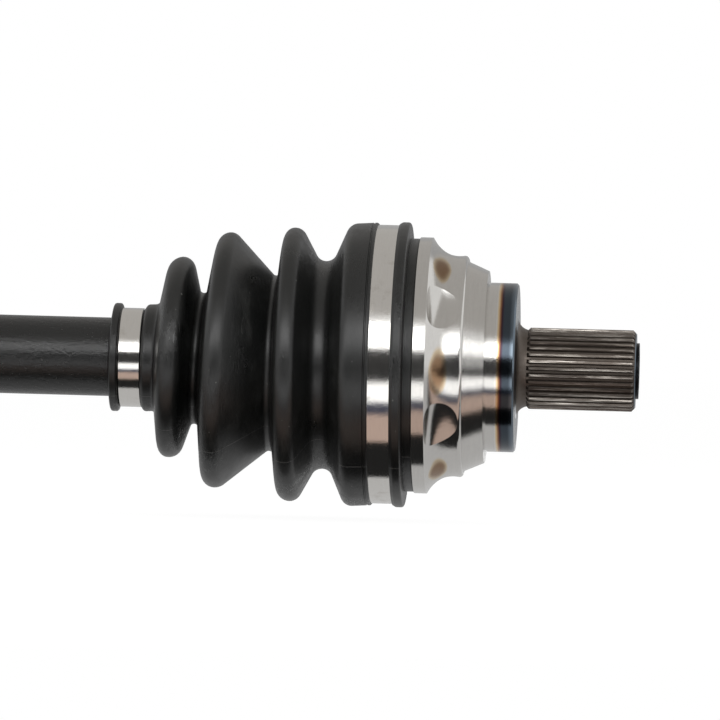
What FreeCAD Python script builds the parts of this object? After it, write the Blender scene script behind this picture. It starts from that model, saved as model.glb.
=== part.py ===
# Half shaft of a passenger car, with a ball joint at the wheel end and a sliding tripod joint
# at the gearbox end. Lengths are in millimetres and angles in degrees.
# The shaft lies along X. X = 0 is the shoulder that the wheel hub seats on, the splined stub
# points to +X, and the gearbox flange is at the -X end. +Z is up.
import FreeCAD, Part
import math
import os

Vector = FreeCAD.Vector
CENTRE = Vector(0, 0, 0)
ALONG = Vector(1, 0, 0)
ACROSS = Vector(0, 1, 0)
UP = Vector(0, 0, 1)
FULL_TURN = 360.0
QUARTER_TURN = 90.0

# Overall places along the shaft
shaft_length = 503.0          # hub shoulder to gearbox flange face
ball_joint_set_back = 38.0    # hub shoulder to the centre of the ball joint
tripod_set_in = 40.0          # gearbox flange face to the centre of the tripod
ball_joint_x = -ball_joint_set_back
flange_face_x = -shaft_length
tripod_x = flange_face_x + tripod_set_in

# How far the joints move
largest_steer = 45.0          # ball joint, each way
largest_tilt = 18.0           # tripod joint, each way
plunge = 12.0                 # tripod joint, each way

# Clearances
running_gap = 0.3             # between curved faces that slide
needle_gap = 0.1              # around each needle roller
seat_gap = 0.05               # between pieces that are pushed together
spline_gap = 0.1              # between male and female splines
roller_gap = 0.15             # at both ends of each roller
cut_overrun = 1.0             # how far a cutting shape runs past what it cuts

# Ball joint: balls, tracks, cage and races
ball_count = 6
ball_radius = 8.73
track_room = 1.5              # tracks are wider than the balls, which wander as the joint bends
track_gap = 0.45              # under each ball, at the bottom of its track
race_web = 6.42               # splines of the bar to the bottom of the inner race's tracks
cage_cover = 3.5              # circle of the ball centres to the outside of the cage
cage_wall = 4.5
cage_half_width = 15.5
window_side_room = 1.07       # beside each ball, for the same wander
window_corner = 4.0
window_gap = 0.1
inner_race_half_width = 12.5
track_run_out = 21.0          # how far the tracks reach towards the stub
mouth_reach = 18.0            # joint centre to the bell's open end
mouth_edge = 0.8

# Bell outside: steps in radius from the seat of the boot, and places from the joint centre
bell_wall = 5.42              # bottom of the ball tracks to the seat of the boot
boot_seat_end = 3.3
band_rise = 1.8
band_width = 4.6
waist_sag = 1.63              # how far the waist dips below a straight line
ridge_drop = 4.2
ridge_place = 19.1
ridge_back = 1.3              # length of the rounded step behind the ridge
ridge_round = 0.62            # how far that step stands out from a straight line
cone_back_drop = 6.2
cone_front_drop = 9.3
scallop_arc = 7.9             # roundness of a hollow along the shaft
scallop_drop = 5.1            # seat of the boot to the bottom of a hollow
scallop_spread = 30.0         # roundness of a hollow across the shaft
scallop_place = 15.75

# Spline teeth, as shares of their pitch each way from the middle of a tooth
tooth_root_share = 0.34
tooth_tip_share = 0.17

# Collar and splined stub
collar_radius = 29.3
collar_width = 9.6
collar_edge = 0.6
notch_width = 0.8
stub_length = 42.3
stub_tip_radius = 14.1
stub_tooth_depth = 0.9
stub_teeth = 36
stub_flare_radius = 17.6
stub_flare_length = 4.5
stub_flare_sag = 1.26
stub_chamfer = 1.3
rim_radius = 9.7
rim_height = 1.0
hub_thread_radius = 7.25
hub_thread_depth = 30.0
drill_point = 4.2

# Bar
bar_radius = 13.7
ball_neck_radius = 12.4
tripod_neck_radius = 11.0
bar_tip_radius = 12.4
bar_tooth_depth = 0.8
bar_teeth = 28
bar_chamfer = 1.2
ball_neck_length = 46.0       # joint centre to where the bar starts to thicken
tripod_neck_length = 52.0
neck_taper = 12.0
ring_groove_depth = 1.0
ring_thickness = 1.4
ring_rise = 1.2
ring_opening = 30.0
bar_overhang = 3.0            # how far the bar ends stand past their rings

# Dished washer and thrust ring beside the inner race
washer_thickness = 1.0
washer_dish = 0.8
washer_radius = 17.0
thrust_ring_width = 3.0
thrust_ring_radius = 15.6

# Wheel-side boot, as (distance from the boot's edge, radius, roundness) of each fold's tip
boot_wall = 2.5
boot_edge_wall = 1.4
boot_edge_width = 2.1
boot_lip_wall = 6.85
boot_lip_width = 4.5
boot_lip_round = 1.2
boot_band_depth = 1.3
boot_barrel_wall = 6.45
boot_shoulder = (21.3, 4.0)   # where the barrel ends: distance from the edge, roundness
boot_step_lead = 2.0          # the barrel's end to the step behind the bell's mouth
outboard_peaks = [(43.0, 47.5, 4.0), (67.9, 44.4, 4.3), (83.5, 34.9, 4.3)]
outboard_valleys = [(32.3, 36.05, 4.0), (50.0, 30.4, 1.5), (75.8, 22.8, 1.6), (91.5, 18.6, 1.6)]

# Boot necks and clamps, the same at both ends of the shaft
neck_wall = 2.9
neck_lip_wall = 4.9
neck_lip_width = 3.9
bulge_lead = 1.7              # last valley of the folds to the bulge beside the small clamp
bulge_round = 1.6
bulge_rise = 2.0
bulge_run = 2.2
small_band_width = 7.1
large_band_width = 7.9
band_thickness = 0.6
ear_height = 4.6
ear_half_width = 3.4
ear_foot_half_width = 4.6

# Tripod joint: spider, needles, rollers
roller_count = 3
roller_wall = 3.4
roller_half_width = 5.75
trunnion_radius = 9.2
trunnion_tip = 0.8            # length past the snap ring
needle_radius = 1.6
needle_end_gap = 0.25         # each end of a needle to the face of its roller
spider_web = 6.2              # splines of the bar to the outside of the spider's hub
spider_half_width = 11.0
snap_ring_width = 0.8
snap_ring_rise = 2.0
snap_groove_depth = 0.8

# Tripod housing
track_side_gap = 0.8
tulip_depth = 72.0            # flange face to open end
tulip_bore_gap = 1.4          # round the spider
roof_gap = 2.2                # over the end of each trunnion
roof_wall = 5.8               # roof of a track to the outside of the collar
tulip_wall = 7.0              # bore to the bottom of a hollow
tulip_hollow_radius = 18.0
tulip_collar_step = 0.4
tulip_collar_width = 18.0
cap_land = 1.5                # collar to the seat of the cap
bolt_land = 8.5               # seat of the cap to the bolt circle
bolt_edge = 7.0               # bolt circle to the edge of the flange
flange_thickness = 10.0
flange_edge = 1.0
flange_bolts = 6
flange_bolt_radius = 5.25
cap_sheet = 1.5
cap_depth = 3.0

# Gearbox-side boot, with the folds measured from the open end of the housing towards the wheel
tulip_boot_wall = 3.6
tulip_lip_width = 3.0
tulip_boot_shoulder = (4.0, 4.0)
tulip_boot_peaks = [(21.0, 41.0, 4.0), (38.0, 35.5, 4.0), (52.5, 29.5, 4.0)]
tulip_boot_valleys = [(12.0, 31.5, 2.5), (30.0, 26.5, 2.0), (45.5, 21.8, 1.6), (60.3, 18.6, 1.6)]

# Worked-out values that several pieces share
ball_pitch_radius = bar_tip_radius + race_web + track_gap + ball_radius
cage_outer_radius = ball_pitch_radius + cage_cover
sphere_radius = cage_outer_radius - cage_wall
bell_sphere_radius = cage_outer_radius + running_gap
race_sphere_radius = sphere_radius - running_gap
track_radius = ball_radius + track_room
bell_track_radius = ball_pitch_radius + track_gap - track_room
race_track_radius = ball_pitch_radius - track_gap + track_room
boot_seat_radius = bell_track_radius + track_radius + bell_wall
boot_barrel_radius = boot_seat_radius + boot_barrel_wall
outboard_peaks.append((boot_shoulder[0], boot_barrel_radius, boot_shoulder[1]))
mouth_x = ball_joint_x - mouth_reach
boot_edge_x = ball_joint_x + boot_seat_end
ball_ring_x = ball_joint_x + inner_race_half_width + seat_gap
tripod_ring_x = tripod_x - spider_half_width - seat_gap - ring_thickness
bar_wheel_end_x = ball_ring_x + ring_thickness + bar_overhang
bar_box_end_x = tripod_ring_x - bar_overhang
ring_bore_radius = bar_tip_radius - ring_groove_depth
needle_pitch_radius = trunnion_radius + needle_gap + needle_radius
roller_bore_radius = needle_pitch_radius + needle_radius + needle_gap
roller_radius = roller_bore_radius + roller_wall
spider_ball_radius = bar_tip_radius + spider_web
roller_place_radius = spider_ball_radius + roller_gap + roller_half_width
snap_ring_place = roller_place_radius + roller_half_width + roller_gap
trunnion_end_radius = snap_ring_place + snap_ring_width + trunnion_tip
track_cylinder_radius = roller_radius + track_side_gap
track_roof = trunnion_end_radius + roof_gap
tulip_bore_radius = spider_ball_radius + tulip_bore_gap
tulip_collar_radius = track_roof + roof_wall
tulip_boot_radius = tulip_collar_radius + tulip_boot_wall
tulip_boot_peaks.append((tulip_boot_shoulder[0], tulip_boot_radius, tulip_boot_shoulder[1]))
tulip_mouth_x = flange_face_x + tulip_depth
cap_radius = tulip_collar_radius - cap_land
bolt_circle_radius = cap_radius + bolt_land
flange_radius = bolt_circle_radius + bolt_edge
boot_neck_x = boot_edge_x - outboard_valleys[-1][0] - bulge_lead
tulip_neck_x = tulip_mouth_x + tulip_boot_valleys[-1][0] + bulge_lead
neck_seat_radius = bar_radius + neck_wall


def at(x, radius):
    """A point of a section that is later turned about the shaft."""
    return Vector(x, radius, 0)


def closed_wire(stops):
    """A closed wire through (x, radius) corners; (mid x, mid radius, x, radius) ends an arc."""
    edges = []
    here = at(*stops[0])
    for stop in stops[1:] + [stops[0]]:
        there = at(*stop[-2:])
        if len(stop) == 4:
            edges.append(Part.Arc(here, at(*stop[:2]), there).toShape())
        else:
            edges.append(Part.LineSegment(here, there).toShape())
        here = there
    return Part.Wire(edges)


def sagging(start, end, sag):
    """The stop that ends an arc whose middle dips below the straight line by the sag."""
    (x0, r0), (x1, r1) = start, end
    chord = math.hypot(x1 - x0, r1 - r0)
    middle = ((x0 + x1) / 2 + sag * (r1 - r0) / chord, (r0 + r1) / 2 - sag * (x1 - x0) / chord)
    return (*middle, *end)


def turned(wire):
    """The solid that a section sweeps in a full turn about the shaft."""
    return Part.Face(wire).revolve(CENTRE, ALONG, FULL_TURN)


def turned_ring(start_x, end_x, inner_radius, outer_radius):
    corners = [(start_x, inner_radius), (end_x, inner_radius),
               (end_x, outer_radius), (start_x, outer_radius)]
    return turned(closed_wire(corners))


def cylinder(start_x, end_x, radius):
    return Part.makeCylinder(radius, end_x - start_x, at(start_x, 0), ALONG)


def spun(shape, angle):
    """A copy turned about the shaft."""
    copy = shape.copy()
    copy.rotate(CENTRE, ALONG, angle)
    return copy


def ring_of(shape, count, first_angle=0.0):
    """Copies of a shape, evenly spaced about the shaft."""
    return [spun(shape, first_angle + FULL_TURN * k / count) for k in range(count)]


def spline_prism(teeth, root_radius, tip_radius, start_x, end_x):
    """A toothed bar with straight-sided teeth."""
    pitch = FULL_TURN / teeth
    corners = []
    for tooth in range(teeth):
        for share, radius in ((-tooth_root_share, root_radius), (-tooth_tip_share, tip_radius),
                              (tooth_tip_share, tip_radius), (tooth_root_share, root_radius)):
            angle = math.radians(pitch * (tooth + share))
            corners.append(Vector(start_x, radius * math.sin(angle), radius * math.cos(angle)))
    outline = Part.makePolygon(corners + [corners[0]])
    return Part.Face(outline).extrude(ALONG * (end_x - start_x))


def splined_length(teeth, tooth_depth, tip_radius, start_x, end_x, chamfer):
    """Splines whose teeth are chamfered at both ends."""
    root_radius = tip_radius - tooth_depth
    teeth_bar = spline_prism(teeth, root_radius, tip_radius, start_x, end_x)
    envelope = turned(closed_wire([
        (start_x, 0.0), (start_x, tip_radius - chamfer), (start_x + chamfer, tip_radius),
        (end_x - chamfer, tip_radius), (end_x, tip_radius - chamfer), (end_x, 0.0)]))
    return teeth_bar.common(envelope)


def spline_bore(start_x, end_x):
    """The female spline that slides onto the end of the bar."""
    tip_radius = bar_tip_radius + spline_gap
    return spline_prism(bar_teeth, tip_radius - bar_tooth_depth, tip_radius, start_x, end_x)


def strung_edges(stops, wall=0.0):
    """Arcs round the tips of a boot's folds, joined by the straight flanks that touch them.

    A stop is (x, radius, roundness): positive where the outline goes over a peak, negative in
    a valley, 0 at a corner. With a wall, it gives the inside of the same sheet of rubber.
    """
    centres = []
    for x, radius, rounding in stops:
        size = rounding - wall if rounding else 0.0
        centres.append((at(x, radius - rounding), size))
    slopes = []
    for (c0, s0), (c1, s1) in zip(centres, centres[1:]):
        step = c1 - c0
        slopes.append(math.atan2(step.y, step.x) - math.asin((s0 - s1) / step.Length))

    def touch(centre, size, slope):
        return centre + Vector(-math.sin(slope), math.cos(slope), 0) * size

    edges = []
    for i, slope in enumerate(slopes):
        start = touch(*centres[i], slope)
        end = touch(*centres[i + 1], slope)
        edges.append(Part.LineSegment(start, end).toShape())
        if i + 1 < len(slopes) and centres[i + 1][1]:
            after = slopes[i + 1]
            middle = touch(*centres[i + 1], (slope + after) / 2)
            edges.append(Part.Arc(end, middle, touch(*centres[i + 1], after)).toShape())
    return edges


def folded_sheet(outer_stops, inner_stops):
    """A boot from the stops of its outside and its inside, both listed towards +X."""
    outside = strung_edges(outer_stops)
    inside = strung_edges(inner_stops, boot_wall)
    ends = [Part.LineSegment(at(*outer_stops[i][:2]), at(*inner_stops[i][:2])).toShape() for i in (0, -1)]
    return turned(Part.Wire(Part.__sortEdges__(outside + inside + ends)))


def fold_stops(peaks, valleys, place):
    """The tips of a boot's folds, listed towards +X. place() turns a distance into an x."""
    stops = [(place(distance), radius, rounding) for distance, radius, rounding in peaks]
    stops += [(place(distance), radius, -rounding) for distance, radius, rounding in valleys]
    return sorted(stops)


def neck_places(bulge_x, outward):
    """Where a boot's neck has the two edges of its clamp and its own end."""
    near_edge = bulge_x + outward * bulge_run
    far_edge = near_edge + outward * small_band_width
    return near_edge, far_edge, far_edge + outward * neck_lip_width


def neck_stops(bulge_x, outward):
    """The outside of a boot's neck, from the bulge beside the clamp to the end lip."""
    near_edge, far_edge, end_x = neck_places(bulge_x, outward)
    lip_radius = bar_radius + neck_lip_wall
    return [(bulge_x, neck_seat_radius + bulge_rise, bulge_round), (near_edge, neck_seat_radius, 0.0),
            (far_edge, neck_seat_radius, 0.0), (far_edge, lip_radius, 0.0), (end_x, lip_radius, 0.0)]


def cone_reach(bend, offset, distance):
    """How far from its axis a hollow has to be, so that a bar of that radius can lean in it."""
    lean = math.radians(bend)
    return (offset + distance * math.sin(lean)) / math.cos(lean)


def bell_cavity():
    """The hollow sphere that the cage turns in, opening into a cone that the bent bar leans on."""
    lean = math.radians(largest_steer)
    bar_room = ball_neck_radius + running_gap
    along = math.sqrt(bell_sphere_radius ** 2 - bar_room ** 2)
    meet_back = along * math.cos(lean) - bar_room * math.sin(lean)
    meet_radius = along * math.sin(lean) + bar_room * math.cos(lean)
    half = (math.pi - math.atan2(meet_radius, meet_back)) / 2
    beyond = mouth_reach + cut_overrun
    return turned(closed_wire([
        (ball_joint_x + bell_sphere_radius, 0.0),
        (ball_joint_x + bell_sphere_radius * math.cos(half), bell_sphere_radius * math.sin(half),
         ball_joint_x - meet_back, meet_radius),
        (ball_joint_x - beyond, cone_reach(largest_steer, bar_room, beyond)),
        (ball_joint_x - beyond, 0.0)]))


def track_rings(ring_radius):
    """Three rings about the joint's centre. Each makes two opposite ball tracks."""
    ring = Part.makeTorus(ring_radius, track_radius, at(ball_joint_x, 0), UP)
    return [spun(ring, k * FULL_TURN / ball_count) for k in range(ball_count // 2)]


def bell_outside():
    """The forged outer race before its tracks are cut, with the stub's core and its end rim."""
    band_radius = boot_seat_radius + band_rise
    band_end = (boot_edge_x + band_width, band_radius)
    ridge = (ball_joint_x + ridge_place, boot_seat_radius - ridge_drop)
    cone_back = (ridge[0] + ridge_back, boot_seat_radius - cone_back_drop)
    cone_front_radius = boot_seat_radius - cone_front_drop
    stub_root = stub_tip_radius - stub_tooth_depth
    return turned(closed_wire([
        (mouth_x, 0.0),
        (mouth_x, boot_seat_radius - mouth_edge),
        (mouth_x + mouth_edge, boot_seat_radius),
        (boot_edge_x, boot_seat_radius),
        (boot_edge_x, band_radius - mouth_edge / 2),
        (boot_edge_x + mouth_edge / 2, band_radius),
        band_end,
        sagging(band_end, ridge, waist_sag),
        sagging(ridge, cone_back, -ridge_round),
        (-collar_width - notch_width, cone_front_radius),
        (-collar_width - notch_width, collar_radius - collar_edge),
        (-collar_width, collar_radius - collar_edge),
        (-collar_width, collar_radius),
        (-collar_edge, collar_radius),
        (0.0, collar_radius - collar_edge),
        (0.0, stub_flare_radius),
        sagging((0.0, stub_flare_radius), (stub_flare_length, stub_root), stub_flare_sag),
        (stub_length - rim_height, stub_root - stub_chamfer / 2),
        (stub_length - rim_height, rim_radius),
        (stub_length, rim_radius),
        (stub_length, 0.0)]))


def scallops():
    """The hollows that lighten the bell between its tracks."""
    centre_radius = boot_seat_radius - scallop_drop + scallop_spread
    ring = Part.makeTorus(scallop_spread - scallop_arc, scallop_arc,
                          Vector(ball_joint_x + scallop_place, 0, centre_radius), ALONG)
    return ring_of(ring, ball_count)


def make_outer_race():
    bell = bell_outside()
    teeth = splined_length(stub_teeth, stub_tooth_depth, stub_tip_radius,
                           stub_flare_length - stub_chamfer, stub_length - rim_height, stub_chamfer)
    bell = bell.fuse(teeth).removeSplitter()
    reach = 2 * ball_pitch_radius
    inside_bell = cylinder(ball_joint_x - reach, ball_joint_x + track_run_out, reach)
    tracks = [ring.common(inside_bell) for ring in track_rings(bell_track_radius)]
    bore_end = stub_length - hub_thread_depth
    bore = turned(closed_wire([
        (bore_end - drill_point, 0.0), (bore_end, hub_thread_radius),
        (stub_length, hub_thread_radius), (stub_length, 0.0)]))
    for tools in (scallops(), [bell_cavity()], tracks, [bore]):
        bell = bell.cut(tools)
    return bell


def make_inner_race():
    half = inner_race_half_width
    face_radius = math.sqrt(race_sphere_radius ** 2 - half ** 2)
    race = turned(closed_wire([
        (ball_joint_x - half, 0.0), (ball_joint_x - half, face_radius),
        (ball_joint_x, race_sphere_radius, ball_joint_x + half, face_radius),
        (ball_joint_x + half, 0.0)]))
    bore = spline_bore(ball_joint_x - half - cut_overrun, ball_joint_x + half + cut_overrun)
    return race.cut(track_rings(race_track_radius) + [bore])


def make_cage():
    half = cage_half_width
    outer_edge = math.sqrt(cage_outer_radius ** 2 - half ** 2)
    inner_edge = math.sqrt(sphere_radius ** 2 - half ** 2)
    x = ball_joint_x
    shell = turned(closed_wire([
        (x - half, outer_edge), (x, cage_outer_radius, x + half, outer_edge),
        (x + half, inner_edge), (x, sphere_radius, x - half, inner_edge)]))
    width = 2 * (ball_radius + window_gap)
    depth = 2 * cage_wall
    length = 2 * (ball_radius + window_side_room)
    window = Part.makeBox(width, depth, length,
                          Vector(x - width / 2, -ball_pitch_radius - depth / 2, -length / 2))
    through = [edge for edge in window.Edges if edge.BoundBox.YLength > cage_wall]
    window = window.makeFillet(window_corner, through)
    return shell.cut(ring_of(window, ball_count))


def make_balls():
    ball = Part.makeSphere(ball_radius, Vector(ball_joint_x, -ball_pitch_radius, 0))
    return ring_of(ball, ball_count)


def snap_ring(start_x, inner_radius, outer_radius, thickness):
    """A ring of flat wire with a gap, as a retaining ring has."""
    ring = turned_ring(start_x, start_x + thickness, inner_radius, outer_radius)
    half = math.radians(ring_opening / 2)
    far = 2 * outer_radius
    wedge = Part.makePolygon([
        Vector(start_x, 0, 0), Vector(start_x, far * math.cos(half), far * math.sin(half)),
        Vector(start_x, far * math.cos(half), -far * math.sin(half)), Vector(start_x, 0, 0)])
    return ring.cut(Part.Face(wedge).extrude(ALONG * thickness))


def make_dished_washer():
    start_x = ball_joint_x - inner_race_half_width - seat_gap
    bore = bar_tip_radius + seat_gap
    return turned(closed_wire([
        (start_x, bore), (start_x - washer_dish, washer_radius),
        (start_x - washer_dish - washer_thickness, washer_radius),
        (start_x - washer_thickness, bore)]))


def make_thrust_ring():
    start_x = ball_joint_x - inner_race_half_width - washer_dish - washer_thickness - 2 * seat_gap
    return turned_ring(start_x - thrust_ring_width, start_x, bar_tip_radius + seat_gap, thrust_ring_radius)


def make_bar():
    """The turned bar with both splines and the two ring grooves."""
    root = bar_tip_radius - bar_tooth_depth
    box_spline_x = tripod_x + spider_half_width + bar_chamfer
    wheel_spline_x = ball_joint_x - inner_race_half_width - bar_chamfer
    body = turned(closed_wire([
        (bar_box_end_x, 0.0), (bar_box_end_x, root - bar_chamfer),
        (bar_box_end_x + bar_chamfer, root), (box_spline_x, root),
        (box_spline_x + bar_chamfer, tripod_neck_radius),
        (tripod_x + tripod_neck_length, tripod_neck_radius),
        (tripod_x + tripod_neck_length + neck_taper, bar_radius),
        (ball_joint_x - ball_neck_length - neck_taper, bar_radius),
        (ball_joint_x - ball_neck_length, ball_neck_radius),
        (wheel_spline_x - bar_chamfer, ball_neck_radius), (wheel_spline_x, root),
        (bar_wheel_end_x - bar_chamfer, root), (bar_wheel_end_x, root - bar_chamfer),
        (bar_wheel_end_x, 0.0)]))
    splines = [
        splined_length(bar_teeth, bar_tooth_depth, bar_tip_radius,
                       bar_box_end_x, box_spline_x, bar_chamfer),
        splined_length(bar_teeth, bar_tooth_depth, bar_tip_radius,
                       wheel_spline_x, bar_wheel_end_x, bar_chamfer)]
    grooves = [turned_ring(x, x + ring_thickness, ring_bore_radius, bar_tip_radius + ring_rise)
               for x in (ball_ring_x, tripod_ring_x)]
    return body.fuse(splines).cut(grooves).removeSplitter()


def make_outboard_boot():
    seat_edge = boot_edge_x - boot_edge_width - boot_lip_width
    seat_far_edge = seat_edge - large_band_width
    seat_radius = boot_barrel_radius - boot_band_depth
    edge_radius = boot_seat_radius + boot_edge_wall
    lip_radius = boot_seat_radius + boot_lip_wall
    folds = fold_stops(outboard_peaks, outboard_valleys, lambda distance: boot_edge_x - distance)
    outer = neck_stops(boot_neck_x, -1)[::-1] + folds + [
        (seat_far_edge, boot_barrel_radius, 0.0),
        (seat_far_edge, seat_radius, 0.0),
        (seat_edge, seat_radius, 0.0),
        (seat_edge, lip_radius, 0.0),
        (boot_edge_x - boot_edge_width - boot_lip_round, lip_radius, boot_lip_round),
        (boot_edge_x - boot_edge_width, edge_radius, 0.0),
        (boot_edge_x, edge_radius, 0.0)]
    step_x = boot_edge_x - boot_shoulder[0] + boot_step_lead
    inner = [(neck_places(boot_neck_x, -1)[2], bar_radius, 0.0), (boot_neck_x, bar_radius, 0.0)]
    inner += folds + [
        (step_x, boot_barrel_radius - boot_wall, 0.0),
        (step_x, boot_seat_radius, 0.0),
        (boot_edge_x, boot_seat_radius, 0.0)]
    return folded_sheet(outer, inner)


def make_inboard_boot():
    start_x = tulip_mouth_x - tulip_collar_width
    seat_radius = tulip_boot_radius - boot_band_depth
    seat_edge = start_x + tulip_lip_width
    folds = fold_stops(tulip_boot_peaks, tulip_boot_valleys, lambda distance: tulip_mouth_x + distance)
    outer = [
        (start_x, tulip_boot_radius, 0.0),
        (seat_edge, tulip_boot_radius, 0.0),
        (seat_edge, seat_radius, 0.0),
        (seat_edge + large_band_width, seat_radius, 0.0),
        (seat_edge + large_band_width, tulip_boot_radius, 0.0)]
    outer += folds + neck_stops(tulip_neck_x, 1)
    step_x = tulip_mouth_x + running_gap
    inner = [
        (start_x, tulip_collar_radius, 0.0),
        (step_x, tulip_collar_radius, 0.0),
        (step_x, tulip_boot_radius - boot_wall, 0.0)]
    inner += folds + [
        (tulip_neck_x, bar_radius, 0.0),
        (neck_places(tulip_neck_x, 1)[2], bar_radius, 0.0)]
    return folded_sheet(outer, inner)


def make_clamp(start_x, end_x, seat_radius):
    """A stainless band whose crimped ear stands on the +Y side."""
    band = turned_ring(start_x, end_x, seat_radius, seat_radius + band_thickness)
    foot = math.sqrt(seat_radius ** 2 - ear_foot_half_width ** 2)
    top = seat_radius + ear_height

    def ear(inset):
        corners = [(foot, ear_foot_half_width - inset), (top - inset, ear_half_width - inset),
                   (top - inset, inset - ear_half_width), (foot, inset - ear_foot_half_width)]
        outline = [Vector(start_x, y, z) for y, z in corners + corners[:1]]
        return Part.Face(Part.makePolygon(outline)).extrude(ALONG * (end_x - start_x))

    loop = ear(0.0).cut(ear(band_thickness))
    inside = cylinder(start_x, end_x, seat_radius)
    return band.fuse(loop).cut(inside).removeSplitter()


def make_spider():
    half = spider_half_width
    face_radius = math.sqrt(spider_ball_radius ** 2 - half ** 2)
    hub = turned(closed_wire([
        (tripod_x - half, 0.0), (tripod_x - half, face_radius),
        (tripod_x, spider_ball_radius, tripod_x + half, face_radius),
        (tripod_x + half, 0.0)]))
    groove_radius = trunnion_radius - snap_groove_depth
    trunnion = Part.makeCylinder(trunnion_radius, trunnion_end_radius, at(tripod_x, 0), UP)
    trunnion = trunnion.makeChamfer(snap_groove_depth, [trunnion.Edges[0]])
    groove_blank = Part.makeCylinder(trunnion_radius + cut_overrun, snap_ring_width,
                                     Vector(tripod_x, 0, snap_ring_place), UP)
    groove = groove_blank.cut(Part.makeCylinder(groove_radius, trunnion_end_radius, at(tripod_x, 0), UP))
    arms = ring_of(trunnion.cut(groove), roller_count)
    bore = spline_bore(tripod_x - half - cut_overrun, tripod_x + half + cut_overrun)
    return hub.fuse(arms).cut(bore)


def make_trunnion_rings():
    ring = snap_ring(0.0, trunnion_radius - snap_groove_depth, trunnion_radius + snap_ring_rise,
                     snap_ring_width)
    ring.rotate(CENTRE, ACROSS, -QUARTER_TURN)
    ring.translate(Vector(tripod_x, 0, snap_ring_place))
    return Part.makeCompound(ring_of(ring, roller_count))


def make_rollers():
    """Outer rollers with a rounded tread, so that they can tilt in their tracks."""
    ball = Part.makeSphere(roller_radius, Vector(tripod_x, 0, roller_place_radius))
    low = roller_place_radius - roller_half_width
    slab = Part.makeCylinder(2 * roller_radius, 2 * roller_half_width, Vector(tripod_x, 0, low), UP)
    bore = Part.makeCylinder(roller_bore_radius, 2 * roller_radius,
                             Vector(tripod_x, 0, low - cut_overrun), UP)
    return ring_of(ball.common(slab).cut(bore), roller_count)


def make_needle_sets():
    """A full ring of needle rollers round each trunnion."""
    half = roller_half_width - needle_end_gap
    low = roller_place_radius - half
    needle = Part.makeCylinder(needle_radius, 2 * half,
                               Vector(tripod_x + needle_pitch_radius, 0, low), UP)
    count = int(math.pi * needle_pitch_radius / (needle_radius + needle_gap / 2))
    needles = []
    for k in range(count):
        copy = needle.copy()
        copy.rotate(at(tripod_x, 0), UP, FULL_TURN * k / count)
        needles.append(copy)
    return ring_of(Part.makeCompound(needles), roller_count)


def make_housing():
    """The tulip: three roller tracks round a bore, a round collar for the boot, and a flange."""
    back_x = flange_face_x + flange_thickness
    collar_x = tulip_mouth_x - tulip_collar_width
    hollow_place = tulip_bore_radius + tulip_wall + tulip_hollow_radius
    hollow = Part.makeCylinder(tulip_hollow_radius, collar_x - back_x,
                               Vector(back_x, 0, -hollow_place), ALONG)
    blank = cylinder(flange_face_x, collar_x, tulip_collar_radius - tulip_collar_step)
    body = blank.cut(ring_of(hollow, roller_count))
    collar = turned(closed_wire([
        (collar_x, 0.0), (collar_x, tulip_collar_radius), (tulip_mouth_x - mouth_edge, tulip_collar_radius),
        (tulip_mouth_x, tulip_collar_radius - mouth_edge), (tulip_mouth_x, 0.0)]))
    flange = turned(closed_wire([
        (flange_face_x, 0.0), (flange_face_x, flange_radius - flange_edge),
        (flange_face_x + flange_edge, flange_radius), (back_x - flange_edge, flange_radius),
        (back_x, flange_radius - flange_edge), (back_x, 0.0)]))
    bar_room = tripod_neck_radius + running_gap
    lean = math.radians(largest_tilt)
    reach = tulip_mouth_x - tripod_x + plunge
    mouth_radius = cone_reach(largest_tilt, bar_room, reach)
    cone_length = (mouth_radius - tulip_bore_radius) / math.tan(lean)
    bore = turned(closed_wire([
        (flange_face_x, 0.0), (flange_face_x, tulip_bore_radius),
        (tulip_mouth_x - cone_length, tulip_bore_radius), (tulip_mouth_x, mouth_radius),
        (tulip_mouth_x, 0.0)]))
    lean_shift = roller_place_radius * (1 - math.cos(lean)) / 2
    track = Part.makeCylinder(track_cylinder_radius, tulip_depth,
                              Vector(flange_face_x, 0, roller_place_radius - lean_shift), ALONG)
    below_roof = Part.makeBox(tulip_depth, 4 * roller_radius, track_roof,
                              Vector(flange_face_x, -2 * roller_radius, 0))
    cap_seat = cylinder(flange_face_x, flange_face_x + cap_depth, cap_radius)
    hole = Part.makeCylinder(flange_bolt_radius, flange_thickness,
                             Vector(flange_face_x, 0, -bolt_circle_radius), ALONG)
    holes = ring_of(hole, flange_bolts, FULL_TURN / flange_bolts / 2)
    solid = body.fuse([collar, flange])
    tracks = ring_of(track.common(below_roof), roller_count)
    return solid.cut([bore, cap_seat] + tracks + holes).removeSplitter()


def make_end_cap():
    """A pressed cup that keeps the grease in, flush inside the flange face."""
    x = flange_face_x + cap_depth
    rim = cap_radius - cap_sheet
    return turned(closed_wire([
        (x - cap_depth, rim), (x - cap_depth, cap_radius), (x, cap_radius), (x, 0.0),
        (x - cap_sheet, 0.0), (x - cap_sheet, rim)]))


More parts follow.
